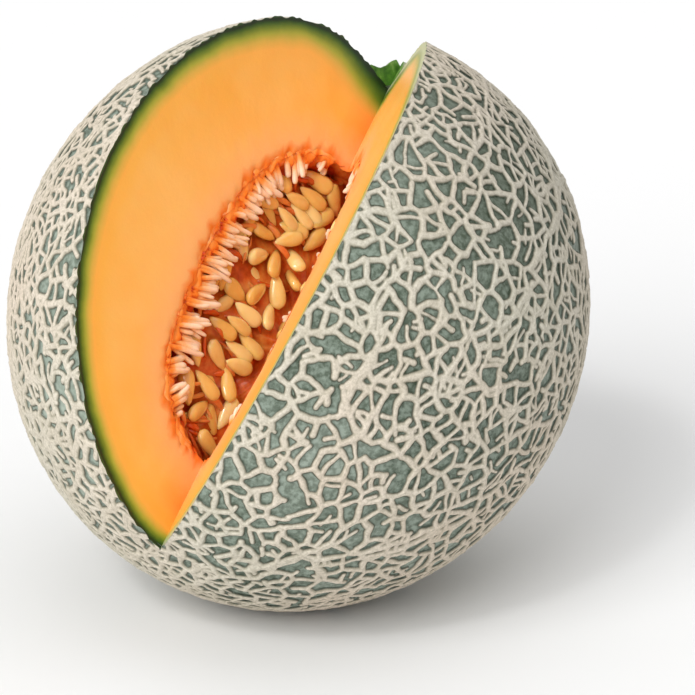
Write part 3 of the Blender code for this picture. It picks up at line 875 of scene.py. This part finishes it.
def sight(pixel):
    """Where the camera stands and the way it sees a pixel of the photograph, in the fruit's own frame."""
    across = (pixel[0] / PHOTO_SIZE - 0.5) * SENSOR / LENS
    up = (0.5 - pixel[1] / PHOTO_SIZE) * SENSOR / LENS
    pitch = math.radians(CAMERA_PITCH)
    way = np.array((across, math.cos(pitch) * up + math.sin(pitch), math.sin(pitch) * up - math.cos(pitch)))
    return np.array(CAMERA_OFFSET) @ POSE[:3, :3], way @ POSE[:3, :3]


def on_skin(pixel):
    """The point of the fruit's round outside that a pixel of the photograph shows."""
    start, way = sight(pixel)
    start, way = start / RADII, way / RADII
    nearest = -(start @ way) / (way @ way)
    gap = start + way * nearest
    return (gap - way * math.sqrt(max(1 - gap @ gap, 0) / (way @ way))) * RADII


def on_left_slope(pixel, depth):
    """The point that a pixel shows on the plane that lies depth behind the left cut face."""
    start, way = sight(pixel)
    return start + way * (-depth - start[1]) / way[1]


def seed_at(middle, along, flat, size):
    """One seed's mesh, its middle, long axis and flat side given, and its length, width and thickness."""
    points, faces = seed_shape(*size)
    points[:, 2] -= size[0] / 2
    across = unit(np.cross(along, flat))
    return points @ np.stack((across, np.cross(along, across), along)) + middle, faces


def seed_size(rng):
    return np.array([rng.uniform(*limits) for limits in (SEED_LENGTH, SEED_WIDTH, SEED_THICKNESS)]) * MM


def make_seeds(material):
    """Seeds laid over each other on the pulp: those that the photograph shows, then others by chance."""
    rng = np.random.default_rng(29)
    placed, parts = [], []
    left = face_axes(0)[1]
    for across, down, turn, lift in SEEDS_SEEN:
        turn, lift = math.radians(turn), math.radians(lift)
        middle = on_left_slope((across, down), PULP_INSET - rng.uniform(1.0, 1.8) * MM)
        tip = (across + 8 * math.cos(turn), down + 8 * math.sin(turn))
        aside = on_left_slope(tip, PULP_INSET - 1.4 * MM)
        along = unit(unit(aside - middle) * math.cos(lift) + left * math.sin(lift))
        placed.append(middle)
        flat = unit(left + 0.2 * rng.normal(size=3))
        parts.append((*seed_at(middle, along, flat, seed_size(rng)), rng.random()))
    for layer, least, tries in SEED_LAYERS:
        for _ in range(tries):
            side = int(rng.random() < 0.6)
            out, normal = face_axes(side)
            polar = math.pi * rng.uniform(0.12, 0.88)
            z = CAVITY[2] * math.cos(polar) - CAVITY_DROP
            reach = rng.uniform(-5 * MM, CAVITY[0])
            middle = apex(z) + out * reach - normal * (layer + rng.uniform(-0.5, 0.5) * MM)
            angle = rng.normal(0, 0.75)
            along = unit(out * math.cos(angle) + UP * math.sin(angle) * rng.choice((-1, 1)))
            along = unit(along + normal * rng.uniform(-0.1, 0.25))
            size = seed_size(rng)
            ends = np.stack((middle - along * size[0] / 2, middle, middle + along * size[0] / 2))
            if any(np.linalg.norm(middle - other) < least for other in placed):
                continue
            if (cavity_level(ends) > 0.93).any() or (into_wedge(ends) > -0.8 * MM).any():
                continue
            placed.append(middle)
            flat = unit(normal + 0.4 * rng.normal(size=3))
            parts.append((*seed_at(middle, along, flat, size), rng.random()))
    points, faces, value = merged(parts)
    mesh_piece("seeds", posed(points), faces, material, {"tint": value})


def make_pulp(material):
    """The wet pulp under the seeds: it fills the cavity behind the notch, torn to a rough double slope."""
    across, down = PULP_STEPS
    turn = np.linspace(0, 2 * math.pi, across, endpoint=False)[:, None]
    polar = np.linspace(0.05, math.pi - 0.05, down)
    rays = xyz(np.sin(polar) * np.cos(turn), np.sin(polar) * np.sin(turn), np.cos(polar))

    def inside(reach):
        points = PULP_MIDDLE + rays * reach[..., None]
        return (cavity_level(points) < 0.945) & (into_wedge(points) < -PULP_INSET)

    points = PULP_MIDDLE + rays * bisect(PULP_LIMITS, (across, down), inside)[..., None]
    hollow = np.clip(waves(points, 4.6 * MM, 71) + 0.1, 0, 1.3)
    lumps = 0.4 - 2.4 * hollow + 0.5 * waves(points, 2.1 * MM, 72) + 0.2 * waves(points, 1.0 * MM, 73)
    crest = points - on_left_slope(PULP_CREST_SEEN, PULP_CREST_DEPTH)
    lumps += 2.6 * np.exp(-((np.linalg.norm(crest, axis=-1) / PULP_CREST_SIZE) ** 2))
    points = points + rays * (lumps * MM)[..., None]
    points = points.transpose(1, 0, 2)
    points, faces = capped(points.reshape(-1, 3), down, across, points[[0, -1]].mean(axis=1))
    faces = outward(points - PULP_MIDDLE, faces)
    made = mesh_piece("pulp", posed(points), faces, material)
    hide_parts("seed_mass")


def make_strands(material):
    """Threads of pulp between the seeds and the cavity's wall."""
    rng = np.random.default_rng(43)
    parts = []
    for _ in range(STRAND_TRIES):
        side = int(rng.random() < 0.4)
        out, normal = face_axes(side)
        polar = math.pi * rng.uniform(0.12, 0.9)
        z = CAVITY[2] * math.cos(polar) * 0.93 - CAVITY_DROP
        most = CAVITY[0] * math.sin(polar) - 3.0 * MM
        reach = rng.uniform(0.1, 1.0) * max(most, 4 * MM)
        spot = apex(z) + out * reach - normal * rng.uniform(5.0, 7.2) * MM
        angle = rng.normal(0, 0.5)
        along = unit(out * math.cos(angle) + UP * math.sin(angle))
        length = rng.uniform(*STRAND_LENGTH) * MM
        share = np.linspace(0, 1, 9)
        bow = normal * rng.uniform(0.05, 0.22) + np.cross(normal, along) * rng.normal(0, 0.12)
        path = spot - along * length * share[:, None] + bow * (np.sin(math.pi * share) * length)[:, None]
        if (cavity_level(path) > 0.985).any() or (into_wedge(path) > -0.8 * MM).any():
            continue
        widths = rng.uniform(*STRAND_WIDTH) * MM * (0.45 + 0.75 * np.sin(math.pi * share) ** 0.8)
        points, faces = tube(path, widths, 7, normal, 0.7)
        parts.append((points, faces, rng.random()))
    points, faces, value = merged(parts)
    mesh_piece("pulp_strands", posed(points), faces, material, {"layer": value})


def wedge_cutter(back):
    """The wedge as a closed prism, its two sides moved back into the fruit by back."""
    half = math.radians(WEDGE_ANGLE / 2)
    shift = -np.array((math.cos(half), math.sin(half), 0)) * back / math.sin(half)
    bm = bmesh.new()
    ends = []
    ways = (0 * shift, face_axes(0)[0] * CUTTER_REACH, face_axes(1)[0] * CUTTER_REACH)
    for z in (-CUTTER_HALF_LENGTH, CUTTER_HALF_LENGTH):
        ends.append([bm.verts.new(apex(z) + shift + way) for way in ways])
    low, high = ends
    bm.faces.new(low[::-1])
    bm.faces.new(high)
    for i in range(3):
        j = (i + 1) % 3
        bm.faces.new((low[i], low[j], high[j], high[i]))
    mesh = bpy.data.meshes.new("wedge_cutter")
    bm.to_mesh(mesh)
    bm.free()
    return bpy.data.objects.new("wedge_cutter", mesh)


def make_stalk(material):
    """The stub of the stalk: a ribbed collar that flares into the dimple, torn on top and cut cleanly."""
    rows, sides = STALK_STEPS
    levels = np.linspace(0, 1, rows)[:, None]
    heights = np.interp(levels, (0, 0.16, 1), (-3.4 * MM, 0.6 * MM, STALK_HEIGHT - 0.4 * MM))
    heights = heights + stalk_foot()[2]
    turn = np.linspace(0, 2 * math.pi, sides, endpoint=False)
    scale = 1 + 0.055 * np.cos(5 * turn) * np.minimum(1, 0.4 + levels)
    radii = np.interp(levels, *STALK_PROFILE) * MM * scale
    points = xyz(STEM_OFFSET + radii * np.cos(turn), radii * np.sin(turn), heights)
    points[..., 2] += 0.45 * MM * (waves(points, 2.2 * MM, 81) - 0.6) * np.clip(levels * 3 - 2, 0, 1)
    points[..., :2] += (0.14 * MM * waves(points, 1.5 * MM, 82))[..., None]
    ends = points[[0, -1]].mean(axis=1) - np.outer((0, STALK_HOLLOW), UP)
    points, faces = capped(points.reshape(-1, 3), rows, sides, ends)
    made = mesh_piece("stalk_stub_fine", points, outward(points - stalk_foot(), faces), material)
    knife = wedge_cutter(STALK_BEHIND)
    step = made.modifiers.new("cut", "BOOLEAN")
    step.object = knife
    bpy.context.scene.collection.objects.link(knife)
    cut = bpy.data.meshes.new_from_object(made.evaluated_get(bpy.context.evaluated_depsgraph_get()))
    made.modifiers.clear()
    bpy.data.objects.remove(knife)
    made.data = cut
    places = numbers_of(cut.vertices, "co").reshape(-1, 3).astype(float)
    behind = -into_wedge(places)
    layer = cut.attributes.new("behind", "FLOAT", "POINT")
    layer.data.foreach_set("value", (behind / MM).astype(np.float32))
    cut.vertices.foreach_set("co", posed(places).astype(np.float32).ravel())
    cut.update()
    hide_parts("stalk_stub")


# Materials.


DEEP = ((0.28, (172, 52, 10)), (0.5, (228, 106, 34)), (0.72, (252, 160, 72)))
FRINGE = (
    (0.0, (206, 70, 18)), (0.14, (250, 138, 46)), (0.3, (255, 168, 84)), (0.5, (255, 208, 160)),
    (0.75, (255, 230, 204)),
)
STRAND_TONES = ((0.1, (222, 92, 26)), (0.9, (250, 156, 82)))
SEED_TONES = ((0.1, (240, 190, 98)), (0.5, (249, 206, 118)), (0.9, (255, 222, 148)))
# The flesh's colour at depths under the skin in millimetres.
FLESH_TONES = (
    (-0.6, (56, 84, 40)), (-0.1, (30, 44, 22)), (0.4, (34, 52, 20)), (0.9, (50, 80, 22)),
    (1.6, (82, 108, 30)), (2.6, (120, 138, 42)), (4.0, (172, 172, 62)), (5.8, (220, 182, 80)),
    (8.2, (252, 184, 82)), (11.0, (254, 184, 76)), (20.0, (255, 190, 90)), (32.0, (255, 196, 108)),
)
FLESH_SPAN = 40.0  # the depth over which these colours run, from a tenth of it outside the skin


class Nodes:
    """A material's shader nodes, added and joined by short calls."""

    def __init__(self, name):
        self.material = bpy.data.materials.new(name)
        self.material.use_nodes = True
        self.tree = self.material.node_tree
        self.shader = self.tree.nodes["Principled BSDF"]

    def feed(self, socket, value):
        """Sets a socket to a number or a display colour, or joins another node to it."""
        if isinstance(value, (int, float)):
            socket.default_value = value
        elif isinstance(value, tuple):
            socket.default_value = linear(*value)
        else:
            self.tree.links.new(value, socket)

    def node(self, kind, output, inputs, **values):
        """Adds a node with its inputs fed and its settings made, and gives one of its outputs."""
        made = self.tree.nodes.new(kind)
        for key, value in values.items():
            setattr(made, key, value)
        for socket, value in inputs.items():
            self.feed(made.inputs[socket], value)
        return made.outputs[output]

    def set(self, **values):
        """Sets the shader's own sockets."""
        for key, value in values.items():
            self.shader.inputs[key.replace("_", " ")].default_value = value

    def attribute(self, name):
        return self.node("ShaderNodeAttribute", "Fac", {}, attribute_name=name)

    def noise(self, scale, detail=4.0, roughness=0.55):
        place = self.node("ShaderNodeTexCoord", "Object", {})
        inputs = {"Vector": place, "Scale": scale, "Detail": detail, "Roughness": roughness}
        return self.node("ShaderNodeTexNoise", "Fac", inputs)

    def remap(self, value, low, high, to_low=0.0, to_high=1.0):
        inputs = {"Value": value, "From Min": low, "From Max": high, "To Min": to_low, "To Max": to_high}
        return self.node("ShaderNodeMapRange", "Result", inputs)

    def ramp(self, value, stops):
        colour = self.node("ShaderNodeValToRGB", "Color", {"Fac": value})
        elements = colour.node.color_ramp.elements
        while len(elements) < len(stops):
            elements.new(0.5)
        for element, (place, tone) in zip(elements, stops):
            element.position = place
            element.color = linear(*tone)
        return colour

    def mix(self, share, first, second):
        inputs = {0: share, 6: first, 7: second}
        return self.node("ShaderNodeMix", 2, inputs, data_type="RGBA")

    def math(self, operation, first, second):
        return self.node("ShaderNodeMath", "Value", {0: first, 1: second}, operation=operation)

    def bump(self, height, strength, distance):
        inputs = {"Strength": strength, "Distance": distance, "Height": height}
        self.feed(self.shader.inputs["Normal"], self.node("ShaderNodeBump", "Normal", inputs))

    def colour(self, source):
        self.feed(self.shader.inputs["Base Color"], source)


def floor_colour(made):
    """The grey-green skin between the ridges, with painted shade over the shaded stretch."""
    base = made.ramp(made.noise(24), [(0.3, (70, 86, 66)), (0.5, (106, 121, 104)), (0.72, (148, 160, 146))])
    fine = made.ramp(made.noise(700), [(0.38, (40, 50, 34)), (0.62, (166, 178, 166))])
    plain = made.mix(0.42, base, fine)
    # Painted shade: the skin darker over the shaded stretch.
    shaded = made.math("MULTIPLY", made.attribute("shaded"), 0.55)
    plain = made.mix(shaded, plain, (62, 68, 48))
    return made.mix(made.math("MULTIPLY", made.attribute("dense"), 0.75), plain, (178, 190, 176))


def net_material():
    """Pale cork, darker in its cracks; painted shade on the ridges' flanks, at their foot and over the
    shaded stretch.
    """
    made = Nodes("net_cork")
    stops = [(0.25, (192, 187, 168)), (0.5, (213, 208, 192)), (0.78, (226, 222, 209))]
    pale = made.ramp(made.noise(90), stops)
    large = made.ramp(made.noise(14, 2), [(0.3, (208, 208, 192)), (0.7, (232, 208, 188))])
    colour = made.mix(0.55, pale, large)
    crack = made.remap(made.noise(260, 2), 0.42, 0.62)
    line = made.math("MULTIPLY", made.remap(made.attribute("nearness"), 0.76, 0.96), crack)
    colour = made.mix(made.math("MULTIPLY", line, 0.5), colour, (160, 150, 128))
    # Painted shade on the ridges' flanks: darkest near their foot, none on top.
    flank_shade = made.remap(made.attribute("nearness"), 0.12, 0.5, 0.62, 0.0)
    colour = made.mix(flank_shade, colour, (142, 139, 118))
    # Painted shade: the ridges darker over the shaded stretch.
    colour = made.mix(made.math("MULTIPLY", made.attribute("shaded"), 0.34), colour, (172, 164, 154))
    speck = made.remap(made.noise(1100, 3, 0.7), 0.35, 0.6, 0.45, 0.0)
    colour = made.mix(speck, colour, (150, 143, 122))
    # Painted shade: the skin darkens round the foot of every ridge.
    shade = made.remap(made.attribute("nearness"), -NET_SKIRT, -0.06)
    foot = made.mix(shade, floor_colour(made), (50, 52, 38))
    made.colour(made.mix(made.remap(made.attribute("height"), 0.02, 0.3), foot, colour))
    made.set(Roughness=0.75, Specular_IOR_Level=0.25)
    made.bump(made.noise(1500, 6, 0.7), 0.55, 0.0003)
    return made.material


def rind_material():
    """The bare skin, the same as at the foot of the net's ridges."""
    made = Nodes("rind_floor")
    made.colour(floor_colour(made))
    made.set(Roughness=0.55)
    made.bump(made.noise(900), 0.3, 0.0002)
    return made.material


def flesh_material():
    """Flesh from the dark rim through olive to orange, torn and deeper coloured at the cavity, with painted
    shade and light.
    """
    made = Nodes("flesh")
    depth = made.attribute("depth")
    ragged = made.math("ADD", depth, made.remap(made.noise(120, 3), 0.3, 0.7, -0.35, 0.35))
    narrow = made.math(
        "ADD",
        made.remap(made.attribute("from_stem"), 6, 34, 0.48, 1.0),
        made.remap(made.attribute("from_stem"), 50, 125, 0.0, 0.45),
    )
    place = made.math("ADD", made.math("DIVIDE", made.math("MULTIPLY", ragged, narrow), FLESH_SPAN), 0.1)
    colour = made.ramp(place, [(mm / FLESH_SPAN + 0.1, tone) for mm, tone in FLESH_TONES])
    cloud = made.ramp(made.noise(30, 3), [(0.3, (253, 174, 68)), (0.7, (255, 208, 134))])
    colour = made.mix(made.math("MULTIPLY", made.remap(depth, 6, 12), 0.45), colour, cloud)
    # Painted light: near the skin, the right face's rim is paler, as if lit brightly.
    pale = made.math("MULTIPLY", made.attribute("lit_rim"), made.remap(ragged, 3.6, 1.6, 0.0, 0.8))
    colour = made.mix(pale, colour, (206, 212, 158))
    # Painted shade: deep in the flesh, the left face is darker orange along the wedge's inner edge.
    apex_shade = made.remap(made.attribute("from_apex"), 10.0, 0.5, 0.0, 0.6)
    colour = made.mix(made.math("MULTIPLY", apex_shade, made.remap(ragged, 5, 12)), colour, (238, 126, 46))
    core = made.math("ADD", made.attribute("to_core"), made.remap(made.noise(300, 3), 0.3, 0.7, -1.0, 1.0))
    colour = made.mix(made.remap(core, 13.0, 4.0, 0.0, 0.6), colour, (255, 192, 136))
    torn = made.math("ADD", made.attribute("torn"), made.remap(made.noise(500, 3), 0.3, 0.7, -0.5, 0.5))
    colour = made.mix(made.remap(torn, 1.8, -1.0), colour, (250, 140, 54))
    colour = made.mix(made.remap(core, 0.8, -0.5), colour, (250, 134, 46))
    made.colour(colour)
    made.set(Roughness=0.42, Specular_IOR_Level=0.35)
    made.set(Subsurface_Weight=0.3, Subsurface_Radius=(1.0, 0.42, 0.16), Subsurface_Scale=0.003)
    made.bump(made.noise(700, 5, 0.65), 0.22, 0.0003)
    return made.material


def wet_material(name, colours, attribute, roughness, subsurface=0.5, scale=0.002, coat=0.35, gloss=0.5):
    """Wet, slightly see-through tissue: its colour follows a value kept at the vertices, or else noise."""
    made = Nodes(name)
    if attribute:
        blur = made.remap(made.noise(420, 3), 0.3, 0.7, -0.12, 0.12)
        value = made.math("ADD", made.attribute(attribute), blur)
    else:
        value = made.noise(170)
    made.colour(made.ramp(value, colours))
    made.set(Roughness=roughness, Specular_IOR_Level=gloss, Coat_Weight=coat, Coat_Roughness=0.12)
    made.set(Subsurface_Weight=subsurface, Subsurface_Radius=(1.0, 0.35, 0.12), Subsurface_Scale=scale)
    made.bump(made.noise(900), 0.2, 0.0003)
    return made.material


def stalk_material():
    """Grey-green bark, and juicy green where the knife went through."""
    made = Nodes("stalk")
    bark = [(0.3, (74, 104, 44)), (0.55, (118, 138, 82)), (0.75, (168, 170, 140))]
    juicy = [(0.3, (38, 84, 16)), (0.6, (94, 142, 44)), (0.8, (160, 186, 104))]
    bark, juicy = made.ramp(made.noise(260, 5), bark), made.ramp(made.noise(300, 4), juicy)
    made.colour(made.mix(made.remap(made.attribute("behind"), 0.2, 0.5), juicy, bark))
    made.set(Roughness=0.6)
    made.bump(made.noise(900), 0.4, 0.0004)
    return made.material


# The stage.


def make_stage():
    """A pale floor, soft lights and the camera."""
    mesh = bpy.data.meshes.new("floor")
    corners = [(x * FLOOR_HALF, y * FLOOR_HALF, 0) for x, y in ((-1, -1), (1, -1), (1, 1), (-1, 1))]
    mesh.from_pydata(corners, [], [(0, 1, 2, 3)])
    floor = bpy.data.objects.new("floor", mesh)
    bpy.context.scene.collection.objects.link(floor)
    made = Nodes("pale_floor")
    made.set(Base_Color=(0.9, 0.9, 0.9, 1.0), Roughness=0.9)
    mesh.materials.append(made.material)
    world = bpy.data.worlds.new("studio")
    world.use_nodes = True
    sky = world.node_tree.nodes["Background"].inputs
    sky["Color"].default_value = (1.0, 1.0, 1.0, 1.0)
    sky["Strength"].default_value = SKY_STRENGTH
    bpy.context.scene.world = world
    for name, place, width, power in SUNS:
        light = bpy.data.lights.new(name, "SUN")
        light.angle = math.radians(width)
        light.energy = power
        lamp = bpy.data.objects.new(name, light)
        lamp.location = place
        lamp.rotation_euler = (-Vector(place)).to_track_quat("-Z", "Y").to_euler()
        bpy.context.scene.collection.objects.link(lamp)
    camera = bpy.data.cameras.new("camera")
    camera.lens = LENS
    camera.sensor_width = SENSOR
    camera.clip_end = 20
    holder = bpy.data.objects.new("camera", camera)
    holder.location = Vector(POSE[:3, 3]) + Vector(CAMERA_OFFSET)
    holder.rotation_euler = (math.radians(CAMERA_PITCH), 0, 0)
    bpy.context.scene.collection.objects.link(holder)
    bpy.context.scene.camera = holder
    bpy.context.scene.view_settings.view_transform = "Standard"


def main():
    strokes = net_strokes()
    near = np.abs(into_wedge(strokes[0] * RADII)) < STROKES_NEAR
    tree = KDTree(int(near.sum()))
    kept = [values[near] for values in strokes]
    for index, direction in enumerate(kept[0]):
        tree.insert(direction, index)
    tree.balance()
    net = make_net(strokes, net_material())
    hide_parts("fruit")
    make_rind(rind_material())
    flesh = flesh_material()
    for side in (0, 1):
        make_face(side, flesh, (tree, kept[1], kept[2]))
    make_wall(wet_material("cavity_wall", DEEP, "", 0.5, coat=0.0, gloss=0.2))
    torn = wet_material("torn_flesh", FRINGE, "along", 0.35, 0.12, 0.001, coat=0.1, gloss=0.3)
    make_fibres(torn)
    for side in (0, 1):
        make_shelf(side, torn)
    make_pulp(wet_material("pulp", DEEP, "", 0.4, coat=0.05, gloss=0.2))
    make_strands(wet_material("strands", STRAND_TONES, "layer", 0.18))
    make_seeds(wet_material("seeds", SEED_TONES, "tint", 0.16, 0.3, 0.0015, 0.9))
    make_stalk(stalk_material())
    make_stage()


main()
